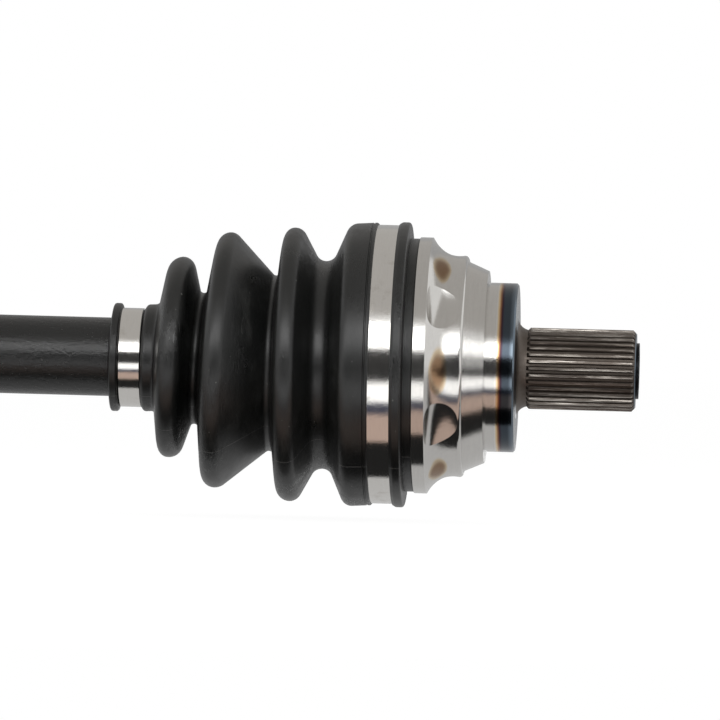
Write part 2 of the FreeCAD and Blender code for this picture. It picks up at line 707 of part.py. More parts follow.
def make_parts():
    wheel_clamp_edge = boot_edge_x - boot_edge_width - boot_lip_width
    box_clamp_edge = tulip_mouth_x - tulip_collar_width + tulip_lip_width
    parts = {
        "bar": make_bar(),
        "outboard_outer_race": make_outer_race(),
        "outboard_inner_race": make_inner_race(),
        "outboard_cage": make_cage(),
        "outboard_circlip": snap_ring(ball_ring_x, ring_bore_radius, bar_tip_radius + ring_rise,
                                      ring_thickness),
        "outboard_dished_washer": make_dished_washer(),
        "outboard_thrust_ring": make_thrust_ring(),
        "outboard_boot": make_outboard_boot(),
        "outboard_large_clamp": make_clamp(wheel_clamp_edge - large_band_width, wheel_clamp_edge,
                                           boot_barrel_radius - boot_band_depth),
        "outboard_small_clamp": make_clamp(*sorted(neck_places(boot_neck_x, -1)[:2]), neck_seat_radius),
        "inboard_spider": make_spider(),
        "inboard_trunnion_rings": make_trunnion_rings(),
        "inboard_circlip": snap_ring(tripod_ring_x, ring_bore_radius, bar_tip_radius + ring_rise,
                                     ring_thickness),
        "inboard_housing": make_housing(),
        "inboard_end_cap": make_end_cap(),
        "inboard_boot": make_inboard_boot(),
        "inboard_large_clamp": make_clamp(box_clamp_edge, box_clamp_edge + large_band_width,
                                          tulip_boot_radius - boot_band_depth),
        "inboard_small_clamp": make_clamp(*neck_places(tulip_neck_x, 1)[:2], neck_seat_radius),
    }
    for k, ball in enumerate(make_balls(), start=1):
        parts[f"outboard_ball_{k}"] = ball
    for k, (roller, needles) in enumerate(zip(make_rollers(), make_needle_sets()), start=1):
        parts[f"inboard_roller_{k}"] = roller
        parts[f"inboard_needles_{k}"] = needles
    return parts


os.makedirs("parts", exist_ok=True)
for name, shape in make_parts().items():
    shape.exportStep(f"parts/{name}.step")
    print(f"{name}: {len(shape.Solids)} solids, {shape.Volume / 1000:.2f} cm3, valid {shape.isValid()}")
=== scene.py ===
# %% [markdown]
# A half shaft carries the drive from a car's gearbox to one wheel. This notebook dresses the
# packed construction model: the bar, the ball joint and its rubber boot at the wheel end, and
# the tripod joint at the gearbox end. Everything is in metres. X = 0 is the shoulder that the
# wheel hub seats on, the splined stub points to +X, and +Z is up.

# %% Load the frame
import math

import bmesh
import bpy
from mathutils import Euler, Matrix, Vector


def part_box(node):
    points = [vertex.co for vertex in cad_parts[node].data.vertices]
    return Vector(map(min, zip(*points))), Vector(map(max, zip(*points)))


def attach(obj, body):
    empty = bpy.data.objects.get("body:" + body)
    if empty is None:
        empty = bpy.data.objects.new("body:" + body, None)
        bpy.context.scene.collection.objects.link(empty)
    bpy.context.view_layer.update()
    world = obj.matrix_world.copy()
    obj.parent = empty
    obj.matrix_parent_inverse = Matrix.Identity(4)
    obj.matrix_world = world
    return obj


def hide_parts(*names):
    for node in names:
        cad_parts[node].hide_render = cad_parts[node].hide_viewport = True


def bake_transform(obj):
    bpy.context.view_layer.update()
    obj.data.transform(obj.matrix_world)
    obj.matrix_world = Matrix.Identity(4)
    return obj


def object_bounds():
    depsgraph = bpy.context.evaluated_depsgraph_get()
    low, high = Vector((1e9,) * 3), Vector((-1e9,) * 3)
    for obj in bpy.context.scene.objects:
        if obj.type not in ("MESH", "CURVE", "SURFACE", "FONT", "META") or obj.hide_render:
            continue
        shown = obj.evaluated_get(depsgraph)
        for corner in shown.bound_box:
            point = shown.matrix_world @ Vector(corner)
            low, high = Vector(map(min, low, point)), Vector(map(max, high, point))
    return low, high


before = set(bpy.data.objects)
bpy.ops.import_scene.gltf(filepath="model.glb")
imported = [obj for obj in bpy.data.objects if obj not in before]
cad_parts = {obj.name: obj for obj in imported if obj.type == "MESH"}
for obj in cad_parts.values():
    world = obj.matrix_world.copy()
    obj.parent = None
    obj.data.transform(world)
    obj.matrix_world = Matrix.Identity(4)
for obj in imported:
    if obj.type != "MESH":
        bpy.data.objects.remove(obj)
cad_low, cad_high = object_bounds()
MM = 0.001
FULL_TURN = 2 * math.pi
ALONG = Vector((1, 0, 0))
print("construction box in mm:", [round(v / MM, 1) for v in (*cad_low, *cad_high)])

# %% [markdown]
# The finishes are built from shader nodes. Writing the arithmetic as Python expressions keeps
# them readable: the small class below wraps one socket, and each operator adds a Math node.
# Colours go through Mix nodes, because a Math node would turn them grey.

# %% Shader arithmetic as Python expressions


class Value:
    """One number that varies over a surface, as the output socket of a node."""

    def __init__(self, nodes, socket):
        self.nodes = nodes
        self.socket = socket

    def __add__(self, other):
        return self.nodes.math("ADD", self, other)

    def __radd__(self, other):
        return self.nodes.math("ADD", other, self)

    def __sub__(self, other):
        return self.nodes.math("SUBTRACT", self, other)

    def __rsub__(self, other):
        return self.nodes.math("SUBTRACT", other, self)

    def __mul__(self, other):
        return self.nodes.math("MULTIPLY", self, other)


class Nodes:
    """Adds nodes to one tree, of a material or of the world."""

    def __init__(self, tree):
        self.tree = tree

    def node(self, kind, settings=None, sockets=None):
        """Any node: its settings first, then the values or links of its sockets."""
        made = self.tree.nodes.new(kind)
        for key, setting in (settings or {}).items():
            if key == "stops":
                self._set_stops(made.color_ramp, setting)
            else:
                setattr(made, key, setting)
        for key, source in (sockets or {}).items():
            self.feed(made.inputs[key], source)
        return made

    def feed(self, socket, source):
        if isinstance(source, Value):
            source = source.socket
        if isinstance(source, bpy.types.NodeSocket):
            self.tree.links.new(source, socket)
        else:
            socket.default_value = source

    def _set_stops(self, ramp, stops):
        ramp.elements.remove(ramp.elements[-1])
        ramp.elements[0].position, ramp.elements[0].color = stops[0]
        for position, colour in stops[1:]:
            ramp.elements.new(position).color = colour

    def math(self, operation, *inputs):
        made = self.node("ShaderNodeMath", {"operation": operation}, dict(enumerate(inputs)))
        return Value(self, made.outputs[0])

    def smooth(self, value, low, high):
        """0 below low, 1 above high, and an even rise between. It falls if low is the larger."""
        made = self.node("ShaderNodeMapRange", {"interpolation_type": "SMOOTHSTEP"},
                         {"Value": value, "From Min": low, "From Max": high})
        return Value(self, made.outputs["Result"])

    def mix(self, share, first, second, blend="MIX"):
        """Two colours, or colour links, mixed by a value."""
        made = self.node("ShaderNodeMix", {"data_type": "RGBA", "blend_type": blend})
        self.feed(made.inputs[0], share)
        for socket, colour in ((made.inputs[6], first), (made.inputs[7], second)):
            self.feed(socket, (*colour, 1.0) if isinstance(colour, tuple) else colour)
        return made.outputs[2]

    def seen_directly(self):
        """1 for rays that show the background: from the camera, off metal, or through glass."""
        path = self.node("ShaderNodeLightPath").outputs
        mirrored = self.math("MAXIMUM", path["Is Glossy Ray"], path["Is Transmission Ray"])
        return self.math("MAXIMUM", path["Is Camera Ray"], mirrored)


class Finish(Nodes):
    """A material under construction, with the coordinates of a turned piece."""

    def __init__(self, name):
        self.material = bpy.data.materials.new(name)
        self.material.use_nodes = True
        super().__init__(self.material.node_tree)
        self.shader = self.tree.nodes["Principled BSDF"]
        self.place = self.node("ShaderNodeTexCoord").outputs["Object"]
        split = self.node("ShaderNodeSeparateXYZ", {}, {0: self.place})
        self.x, self.y, self.z = (Value(self, split.outputs[i]) for i in range(3))
        self.radius = self.math("SQRT", self.y * self.y + self.z * self.z)
        self.angle = self.math("ARCTAN2", self.y, self.z)

    def stretched(self, along, across, up):
        """The object's coordinates, squeezed by these factors, for a grained pattern."""
        made = self.node("ShaderNodeMapping", {}, {
            "Vector": self.place, "Scale": (along, across, up)})
        return made.outputs["Vector"]

    def rings(self):
        """Coordinates that only change along the shaft and outwards, so a pattern makes rings."""
        return self.node("ShaderNodeCombineXYZ", {}, {0: self.x, 1: self.radius}).outputs[0]

    def lines(self):
        """Coordinates that only change round the shaft, so a pattern makes lines along it."""
        made = self.node("ShaderNodeCombineXYZ", {}, {0: self.x * 0.06, 1: self.y, 2: self.z})
        return made.outputs[0]

    def noise(self, vector, scale, detail=3.0, roughness=0.55, distortion=0.0):
        made = self.node("ShaderNodeTexNoise", {}, {
            "Vector": vector, "Scale": scale, "Detail": detail,
            "Roughness": roughness, "Distortion": distortion})
        return Value(self, made.outputs["Fac"])

    def bump(self, height, distance, strength=1.0, below=None):
        made = self.node("ShaderNodeBump", {}, {
            "Height": height, "Distance": distance, "Strength": strength})
        if below is not None:
            self.feed(made.inputs["Normal"], below)
        return made.outputs["Normal"]

    def finish(self, **sockets):
        """Sets the shader's sockets by name, with _ for a space."""
        for key, source in sockets.items():
            self.feed(self.shader.inputs[key.replace("_", " ")], source)
        return self.material


def darker(colour, share):
    return tuple(channel * share for channel in colour)


# %% [markdown]
# The boots are moulded from a black thermoplastic rubber. New they are almost black with a soft
# sheen, and in handling they gather dust, finger marks and light scuffs. The mould has two
# halves, whose parting line runs along the boot as a fine pale flash. Clouds in the roughness
# make the sheen patchy, small glossy flecks catch the light on the fold tips, and a very fine
# grain in the bump keeps the whole from looking like glass.

# %% Boot rubber
parting_angle = math.radians(46)     # below the horizontal, on the side of the photograph


def boot_rubber():
    f = Finish("boot_rubber")
    clouds = f.noise(f.stretched(1, 1, 1), 42.0, 4.0, 0.6)
    streaks = f.noise(f.stretched(1.6, 1, 0.35), 150.0, 5.0, 0.65, 0.5)
    grain = f.noise(f.stretched(1, 1, 1), 2600.0, 2.0)
    nicks = f.noise(f.stretched(1, 1, 1), 700.0, 1.0, 0.4)
    scratches = f.noise(f.stretched(1.6, 0.3, 0.5), 330.0, 2.0, 0.5, 1.2)
    flecks = f.noise(f.stretched(2.4, 0.8, 0.5), 520.0, 4.0, 0.7, 0.6)
    patches = f.noise(f.stretched(1, 1, 1), 33.0, 3.0, 0.6)
    dust = f.smooth(clouds, 0.46, 0.72) * f.smooth(streaks, 0.40, 0.70)
    scuff = f.smooth(scratches, 0.70, 0.76) * f.smooth(clouds, 0.46, 0.60)
    nick = f.smooth(nicks, 0.80, 0.84)
    fleck = f.smooth(flecks, 0.48, 0.60) * f.smooth(patches, 0.47, 0.62)
    off_parting = f.math("ABSOLUTE", f.y * math.sin(parting_angle) - f.z * math.cos(parting_angle))
    flash = f.smooth(off_parting, 0.22 * MM, 0.05 * MM)
    colour = f.mix(dust * 0.8, (0.0040, 0.0044, 0.0041), (0.015, 0.016, 0.0145))
    colour = f.mix(scuff * 0.5, colour, (0.075, 0.076, 0.07))
    colour = f.mix(nick * 0.6, colour, (0.16, 0.16, 0.15))
    colour = f.mix(flash * 0.30, colour, (0.085, 0.085, 0.08))
    rough = 0.18 + clouds * 0.20 + streaks * 0.18 + dust * 0.12 + scuff * 0.1 - fleck * 0.12
    bump = f.bump(grain, 0.03 * MM, 0.5)
    bump = f.bump(streaks, 0.30 * MM, 0.35, bump)
    bump = f.bump(fleck * flecks, 0.10 * MM, 0.7, bump)
    bump = f.bump(flash, 0.10 * MM, 0.8, bump)
    return f.finish(Base_Color=colour, Roughness=rough, Normal=bump, Specular_IOR_Level=0.55)


RUBBER = boot_rubber()
print("boot rubber has", len(RUBBER.node_tree.nodes), "nodes")

# %% [markdown]
# The bar is sprayed satin black over forged and turned steel. The paint is thin, so the skin of
# the steel shows through it as a fine orange peel that breaks each highlight into speckles.

# %% Bar paint


def bar_paint():
    f = Finish("satin_black_paint")
    peel = f.noise(f.stretched(0.6, 1, 1), 950.0, 4.0, 0.65)
    broad = f.noise(f.stretched(0.3, 1, 1), 90.0, 3.0)
    specks = f.noise(f.stretched(0.8, 1, 1), 1300.0, 2.0, 0.5)
    speck = f.smooth(specks, 0.68, 0.76)
    colour = f.mix(speck * 0.6, (0.0060, 0.0062, 0.0060), (0.060, 0.058, 0.054))
    rough = 0.19 + broad * 0.14 + speck * 0.2
    return f.finish(Base_Color=colour, Roughness=rough, Normal=f.bump(peel, 0.28 * MM, 0.6))


PAINT = bar_paint()
print("bar paint has", len(PAINT.node_tree.nodes), "nodes")

# %% [markdown]
# Bare steel needs its reflections broken up, or it reads as chrome. Turned surfaces carry fine
# rings, which are noise that changes only along the shaft and outwards. Long wavy streaks round
# the shaft and a mottled film of protective oil do the rest, so that the border between two
# reflections is ragged and not a clean line.

# %% Turned and ground steel


def steel(name, colour, rough, ring_depth=0.010, film=0.10):
    f = Finish(name)
    rings = f.noise(f.rings(), 5200.0, 3.0, 0.7)
    broken = f.noise(f.stretched(9, 1, 1), 130.0, 4.0, 0.65)
    mottle = f.noise(f.stretched(1, 1, 1), 420.0, 4.0, 0.7)
    stain = f.smooth(f.noise(f.stretched(1, 1, 1), 60.0, 4.0, 0.6), 0.5, 0.78)
    tone = f.mix(broken * 0.5 + mottle * 0.3, colour, darker(colour, 0.72))
    tone = f.mix(stain * 0.35, tone, darker(colour, 0.55))
    roughness = rough + (mottle - 0.5) * film + rings * 0.06 + stain * 0.08
    bump = f.bump(rings, ring_depth * MM, 0.6)
    bump = f.bump(mottle, 0.012 * MM, 0.5, bump)
    return f.finish(Base_Color=tone, Metallic=1.0, Roughness=roughness, Normal=bump)


GROUND = steel("ground_bearing_steel", (0.62, 0.61, 0.60), 0.16, 0.005, 0.05)
ZINC_SHEET = steel("zinc_sheet", (0.50, 0.50, 0.48), 0.34, 0.004, 0.15)
print("plain steels:", GROUND.name, ZINC_SHEET.name)

# %% [markdown]
# Steel that has been hardened with a heating coil keeps the oxide colours of the heat. From the
# coolest part to the hottest they run from straw through brown and purple to dark blue. A ramp
# along the shaft lays them on the collar. The waist of the bell shows a brown spot over each
# ball track, because the coil heated the tracks from inside. A cosine of six waves round the
# shaft peaks at each of them, and the squared distance along the shaft is added to how far the
# cosine is from its peak, so that each spot is a soft oval.
#
# The stub is part of the same forging, so its splines belong to the same finish. They keep the
# brown-grey skin of the hardening oven, with bright lines where the tips of the teeth have
# rubbed, and painted shade darkens the roots between the teeth. The distance from the axis
# tells tips from roots.

# %% Bell, collar and splines
BARE_STEEL = (0.64, 0.625, 0.60)
STRAW = (0.66, 0.50, 0.30)
BROWN = (0.27, 0.13, 0.065)
PURPLE = (0.045, 0.022, 0.035)
DEEP_BLUE = (0.050, 0.062, 0.076)
PALE_BLUE = (0.13, 0.16, 0.19)
BURNT = (0.17, 0.085, 0.04)
OVEN_GREY = (0.17, 0.15, 0.135)
OVEN_BROWN = (0.085, 0.068, 0.055)
RUBBED = (0.56, 0.52, 0.47)
BORE_MOUTH_SHADE = (0.012, 0.013, 0.015)
collar_band_start, collar_band_length = -6.5 * MM, 6.0 * MM
waist_spot_x = -25.6 * MM
track_count = 6
spot_turn = math.radians(3)           # the spots lie a little lower than the tracks' middles
spot_half_length = 3.6 * MM
flare_start, spline_start, stub_face = 0.0, 4.5 * MM, 41.2 * MM
spline_root, spline_tip = 13.2 * MM, 14.1 * MM
rim_edge = 9.9 * MM


def bell_steel():
    f = Finish("bell_steel")
    rings = f.noise(f.rings(), 5200.0, 3.0, 0.7)
    broken = f.noise(f.stretched(9, 1, 1), 130.0, 4.0, 0.65)
    mottle = f.noise(f.stretched(1, 1, 1), 620.0, 5.0, 0.75)
    speckle = f.noise(f.stretched(2.2, 1, 1), 1500.0, 3.0, 0.7)
    wander = f.noise(f.stretched(1, 1, 1), 70.0, 2.0)
    tone = f.mix(broken * 0.4 + mottle * 0.3, BARE_STEEL, darker(BARE_STEEL, 0.72))

    lobes = f.math("COSINE", (f.angle + spot_turn) * track_count) * -1.0
    off_spot = (f.x - waist_spot_x) * (1 / spot_half_length)
    off_spot = off_spot * off_spot + (1 - lobes) * 1.1 + (wander - 0.5) * 0.8
    spot = f.smooth(off_spot, 1.0, 0.0)
    tone = f.mix(f.smooth(spot, 0.0, 0.45), tone, (0.94, 0.80, 0.60), "MULTIPLY")
    tone = f.mix(f.smooth(spot, 0.20, 1.0) * 0.85, tone, BURNT)

    from_band = (f.x - collar_band_start + (wander - 0.5) * 0.8 * MM) * (1 / collar_band_length)
    ramp = f.node("ShaderNodeValToRGB", {"stops": [
        (0.0, (*BARE_STEEL, 1.0)), (0.10, (*STRAW, 1.0)), (0.20, (*BROWN, 1.0)),
        (0.29, (*PURPLE, 1.0)), (0.42, (*DEEP_BLUE, 1.0)), (0.75, (*DEEP_BLUE, 1.0)),
        (0.95, (*PALE_BLUE, 1.0))]}, {"Fac": from_band})
    on_collar = f.smooth(f.x, collar_band_start - 0.3 * MM, collar_band_start)
    tone = f.mix(on_collar, tone, ramp.outputs[0])

    smear = f.noise(f.lines(), 850.0, 4.0, 0.7)
    grime = f.noise(f.stretched(0.35, 1, 1), 420.0, 4.0, 0.65)
    on_splines = f.smooth(f.x, spline_start, spline_start + 0.6 * MM)
    crest = f.smooth(f.radius, spline_root + 0.35 * MM, spline_tip - 0.1 * MM) * on_splines
    worn = crest * f.smooth(smear, 0.46, 0.64)
    skin = f.mix(grime, OVEN_BROWN, OVEN_GREY)
    skin = f.mix(worn * 0.85, skin, RUBBED)
    # Painted shade: the roots between the teeth are darkened, where shade falls between them.
    painted_root_shade = f.smooth(f.radius, spline_tip - 0.35 * MM, spline_root) * on_splines
    skin = f.mix(painted_root_shade * 0.6, skin, darker(OVEN_BROWN, 0.4))
    on_stub = f.smooth(f.x, flare_start, 0.5 * MM) * f.smooth(f.x, stub_face, stub_face - 0.3 * MM)
    tone = f.mix(on_stub, tone, skin)

    on_face = f.smooth(f.x, stub_face - 0.3 * MM, stub_face)
    tone = f.mix(on_face, tone, PALE_BLUE)
    # Painted shade: the end face round the mouth of the bore is painted black, as the shade of the
    # hole.
    on_shaded_bore_mouth = on_face * f.smooth(f.radius, rim_edge, rim_edge - 0.15 * MM)
    tone = f.mix(on_shaded_bore_mouth, tone, BORE_MOUTH_SHADE)

    roughness = 0.12 + (mottle - 0.5) * 0.15 + rings * 0.05
    roughness = roughness + on_stub * (0.26 - worn * 0.10 + grime * 0.08) + on_shaded_bore_mouth * 0.2
    bump = f.bump(rings, 0.010 * MM, 0.6)
    bump = f.bump(mottle, 0.020 * MM, 0.5, bump)
    bump = f.bump(speckle, 0.040 * MM, 0.6, bump)
    bump = f.bump(smear * on_splines, 0.12 * MM, 0.6, bump)
    return f.finish(Base_Color=tone, Metallic=1.0, Roughness=roughness, Normal=bump)


BELL = bell_steel()
print("bell steel has", len(BELL.node_tree.nodes), "nodes")

# %% [markdown]
# The band clamps are strips of bright stainless steel. A strip keeps the fine straight grain of
# its rolling, which runs round the clamp, and here and there a faint stain.

# %% Stainless strip


def stainless_strip():
    f = Finish("stainless_strip")
    grain = f.noise(f.rings(), 7000.0, 2.0, 0.6)
    broken = f.noise(f.stretched(12, 1, 1), 170.0, 3.0, 0.6)
    haze = f.noise(f.stretched(1, 1, 1), 700.0, 4.0, 0.7)
    stain = f.smooth(f.noise(f.stretched(1, 1, 1), 95.0, 4.0, 0.65), 0.56, 0.72)
    colour = f.mix(stain * 0.4 + broken * 0.25, (0.70, 0.685, 0.66), (0.46, 0.43, 0.39))
    rough = 0.07 + grain * 0.05 + haze * 0.05 + stain * 0.12
    speckle = f.noise(f.stretched(3.0, 1, 1), 900.0, 4.0, 0.7)
    bump = f.bump(grain, 0.008 * MM, 0.5)
    bump = f.bump(haze, 0.012 * MM, 0.5, bump)
    bump = f.bump(speckle, 0.045 * MM, 0.7, bump)
    return f.finish(Base_Color=colour, Metallic=1.0, Roughness=rough, Normal=bump)


STRIP = stainless_strip()
print("stainless strip has", len(STRIP.node_tree.nodes), "nodes")

# %% [markdown]
# The gearbox-side housing is a forging that is machined only where something fits: the collar
# under the boot, the flange face and its rim. The hollows between the tracks keep the grey scale
# of the forge. Here again the distance from the axis and the place along the shaft tell which is
# which, so one finish covers the whole piece.

# %% Forged and machined housing
housing_low, housing_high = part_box("inboard_housing")
machined_collar_x = housing_high.x - 18 * MM
machined_flange_x = housing_low.x + 10.2 * MM
hollow_outside, hollow_inside = 39.3 * MM, 21.3 * MM     # radii between which the forge scale stays
FORGE_SCALE = (0.105, 0.098, 0.092)


def housing_steel():
    f = Finish("housing_steel")
    rings = f.noise(f.rings(), 4200.0, 3.0, 0.7)
    mottle = f.noise(f.stretched(1, 1, 1), 420.0, 4.0, 0.7)
    lumps = f.noise(f.stretched(1, 1, 1), 260.0, 5.0, 0.7)
    between = f.smooth(f.x, machined_collar_x, machined_collar_x - 0.4 * MM) * f.smooth(
        f.x, machined_flange_x - 0.2 * MM, machined_flange_x + 0.2 * MM)
    forged = between * f.smooth(f.radius, hollow_outside + 0.15 * MM, hollow_outside - 0.1 * MM)
    forged = forged * f.smooth(f.radius, hollow_inside - 0.3 * MM, hollow_inside + 0.2 * MM)
    bare = f.mix(mottle, (0.54, 0.525, 0.505), (0.40, 0.39, 0.37))
    scale = f.mix(lumps, FORGE_SCALE, darker(FORGE_SCALE, 1.9))
    colour = f.mix(forged, bare, scale)
    roughness = 0.22 + mottle * 0.1 + rings * 0.05 + forged * (0.22 + lumps * 0.12)
    bump = f.bump(rings * (1 - forged), 0.012 * MM, 0.6)
    bump = f.bump(lumps * forged, 0.35 * MM, 0.6, bump)
    return f.finish(Base_Color=colour, Metallic=0.95, Roughness=roughness, Normal=bump)


HOUSING = housing_steel()
print("machined collar starts at", round(machined_collar_x / MM, 1), "mm")

# %% [markdown]
# Small inner pieces have plain finishes of their own: blackened spring steel for the retaining
# rings, and natural nylon for the thrust ring.

# %% Finishes of the small pieces


def dark_steel(name, colour=(0.05, 0.048, 0.05)):
    f = Finish(name)
    cloud = f.noise(f.stretched(1, 1, 1), 300.0, 4.0)
    rub = f.smooth(f.noise(f.stretched(2, 1, 1), 900.0, 3.0), 0.6, 0.75)
    tone = f.mix(rub * 0.6, colour, darker(colour, 3.5))
    return f.finish(Base_Color=tone, Metallic=0.8, Roughness=0.38 + cloud * 0.2,
                    Normal=f.bump(cloud, 0.03 * MM, 0.5))


def nylon():
    f = Finish("natural_nylon")
    cloud = f.noise(f.stretched(1, 1, 1), 200.0, 3.0)
    tone = f.mix(cloud, (0.60, 0.57, 0.47), (0.70, 0.67, 0.58))
    return f.finish(Base_Color=tone, Roughness=0.42 + cloud * 0.1,
                    Normal=f.bump(cloud, 0.03 * MM, 0.4))


SPRING_STEEL = dark_steel("blackened_spring_steel")
DARK_BORE = dark_steel("oiled_thread_steel", (0.030, 0.030, 0.032))
NYLON = nylon()
print("small finishes:", SPRING_STEEL.name, DARK_BORE.name, NYLON.name)

# %% [markdown]
# Most pieces keep their construction mesh, which is fine enough to look round, so they only get
# a finish. Each is named with the finish that it really has.

# %% Finishes of the construction pieces
plain_finishes = {
    "bar": PAINT,
    "outboard_outer_race": BELL,
    "outboard_inner_race": GROUND,
    "outboard_cage": GROUND,
    "outboard_circlip": SPRING_STEEL,
    "outboard_dished_washer": SPRING_STEEL,
    "outboard_thrust_ring": NYLON,
    "outboard_large_clamp": STRIP,
    "outboard_small_clamp": STRIP,
    "inboard_spider": GROUND,
    "inboard_trunnion_rings": SPRING_STEEL,
    "inboard_circlip": SPRING_STEEL,
    "inboard_housing": HOUSING,
    "inboard_end_cap": ZINC_SHEET,
    "inboard_large_clamp": STRIP,
    "inboard_small_clamp": STRIP,
}
plain_finishes.update({f"outboard_ball_{k}": GROUND for k in range(1, 7)})
plain_finishes.update({f"inboard_roller_{k}": GROUND for k in (1, 2, 3)})
plain_finishes.update({f"inboard_needles_{k}": GROUND for k in (1, 2, 3)})
for node, finish in plain_finishes.items():
    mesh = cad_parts[node].data
    mesh.materials.clear()
    mesh.materials.append(finish)
print("construction pieces with a finish:", len(plain_finishes))

# %% [markdown]
# A boot's outline is a belt strung round a row of pulleys. Each fold tip is a circle, and the
# straight flanks are the lines that touch one circle and the next. A positive roundness is a
# peak, which the belt goes over, a negative one is a valley, which it goes under, and 0 is a
# plain corner. The inside of the rubber is the same belt with every circle smaller by the wall.

# %% A belt round the fold tips
arc_step = math.radians(11)


def belt(stops, wall=0.0):
    """Points of the belt, from stops of (x, radius, roundness) in millimetres."""
    circles = [(Vector((x, radius - rounding)), rounding - wall if rounding else 0.0)
               for x, radius, rounding in stops]
    slopes = []
    for (here, size), (there, next_size) in zip(circles, circles[1:]):
        step = there - here
        slopes.append(math.atan2(step.y, step.x) - math.asin((size - next_size) / step.length))
    points = [circles[0][0]]
    for (centre, size), before, after in zip(circles[1:], slopes, slopes[1:]):
        count = math.ceil(abs(after - before) / arc_step) if size else 0
        for k in range(count + 1):
            slope = before + (after - before) * k / max(count, 1)
            points.append(centre + size * Vector((-math.sin(slope), math.cos(slope))))
    points.append(circles[-1][0])
    return points


print("one peak becomes", len(belt([(0, 0, 0), (10, 12, 4), (20, 0, 0)])), "points")

# %% [markdown]
# Spinning the outline once round the shaft makes the boot in one step. The outline is closed,
# outside and inside together, so the result is a real sheet of rubber with a wall, and the spin
# joins its last copy to its first.

# %% Spin an outline
spin_steps = 160
sharp_angle = math.radians(35)        # edges that turn by more than this stay crisp


def spun_mesh(points):
    """A closed outline of (x, radius) points in millimetres, spun about the shaft."""
    shape = bmesh.new()
    corners = [shape.verts.new((x * MM, -radius * MM, 0.0)) for x, radius in points]
    edges = [shape.edges.new((corners[i - 1], corners[i])) for i in range(len(corners))]
    bmesh.ops.spin(shape, geom=corners + edges, cent=(0, 0, 0), axis=ALONG, dvec=(0, 0, 0),
                   angle=FULL_TURN, steps=spin_steps, use_merge=True)
    bmesh.ops.remove_doubles(shape, verts=shape.verts, dist=0.001 * MM)
    bmesh.ops.recalc_face_normals(shape, faces=shape.faces)
    return shape


def add_piece(name, shape, finish):
    """Turns a bmesh into a scene object with smooth shading and one finish."""
    mesh = bpy.data.meshes.new(name)
    shape.to_mesh(mesh)
    shape.free()
    mesh.shade_smooth()
    mesh.set_sharp_from_angle(angle=sharp_angle)
    mesh.materials.append(finish)
    piece = bpy.data.objects.new(name, mesh)
    bpy.context.scene.collection.objects.link(piece)
    print(name, "has", len(mesh.polygons), "faces")
    return piece


# %% [markdown]
# The wheel-side boot grips the bell at its wide end and the bar at its neck. Its folds are not
# quite square to the shaft: rubber takes a set in its box. The two folds nearest the neck lean,
# and the widest one hangs a little low, so a table along the shaft gives the lean in degrees and
# the drop in millimetres, and each point of the mesh is shifted by what the table says there.

# %% Wheel-side boot
bar_radius = 13.7
neck_seat = 16.6
sheet_wall = 2.5
wheel_folds = [
    (-126.3, 18.6, -1.6), (-118.5, 34.9, 4.3), (-110.5, 22.8, -1.6), (-102.2, 44.4, 4.3),
    (-84.9, 30.5, -1.5), (-77.9, 47.5, 4.0), (-66.9, 36.05, -4.0), (-56.0, 49.05, 4.0)]
wheel_neck = [
    (-141.1, 14.6, 0.0), (-139.7, 18.8, 0.8), (-138.5, 18.8, 0.8), (-137.2, neck_seat, 0.0),
    (-130.1, neck_seat, 0.0), (-128.1, 18.6, 1.4)]
barrel_and_lip = [
    (-51.0, 49.05, 0.0), (-50.8, 48.75, 0.0), (-50.5, 48.75, 0.0), (-50.3, 49.05, 0.0),
    (-49.6, 49.05, 0.0), (-49.2, 48.75, 0.0), (-49.2, 47.75, 0.0), (-41.3, 47.75, 0.0),
    (-41.3, 48.45, 0.0), (-41.8, 48.5, 0.0), (-41.75, 48.8, 0.0), (-40.4, 49.45, 0.9),
    (-38.8, 49.45, 0.9), (-37.5, 43.9, 0.0), (-34.7, 43.9, 0.0)]
wheel_inside = [(-141.1, bar_radius, 0.0), (-127.9, bar_radius, 0.0)]
wheel_seat = [(-54.0, 46.55, 0.0), (-54.0, 42.6, 0.0), (-34.7, 42.6, 0.0)]
crook = [  # x, lean of the top towards the wheel in degrees, drop in millimetres
    (-141.0, 0.6, 0.0), (-128.0, 1.0, 0.0), (-118.5, 2.8, -0.6), (-102.3, 2.5, 0.0),
    (-90.0, 1.4, 0.5), (-78.0, -0.2, 0.9), (-67.0, -0.3, 0.8), (-56.0, -0.1, 0.4),
    (-50.0, 0.0, 0.0)]


def crooked(shape):
    """Leans and drops the folds as the table says."""
    for vert in shape.verts:
        x = vert.co.x / MM
        after = next((i for i, row in enumerate(crook) if row[0] > x), len(crook))
        first, last = crook[max(after - 1, 0)], crook[min(after, len(crook) - 1)]
        share = 0.0 if first is last else (x - first[0]) / (last[0] - first[0])
        lean = math.radians(first[1] + (last[1] - first[1]) * share)
        vert.co.x += vert.co.z * math.tan(lean)
        vert.co.z -= (first[2] + (last[2] - first[2]) * share) * MM
    return shape


outside = belt(wheel_neck + wheel_folds + barrel_and_lip)
inside = belt(wheel_inside + wheel_folds + wheel_seat, sheet_wall)
boot_shape = crooked(spun_mesh(outside + inside[::-1]))
wheel_boot = add_piece("wheel_boot", boot_shape, RUBBER)
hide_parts("outboard_boot")
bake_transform(wheel_boot)
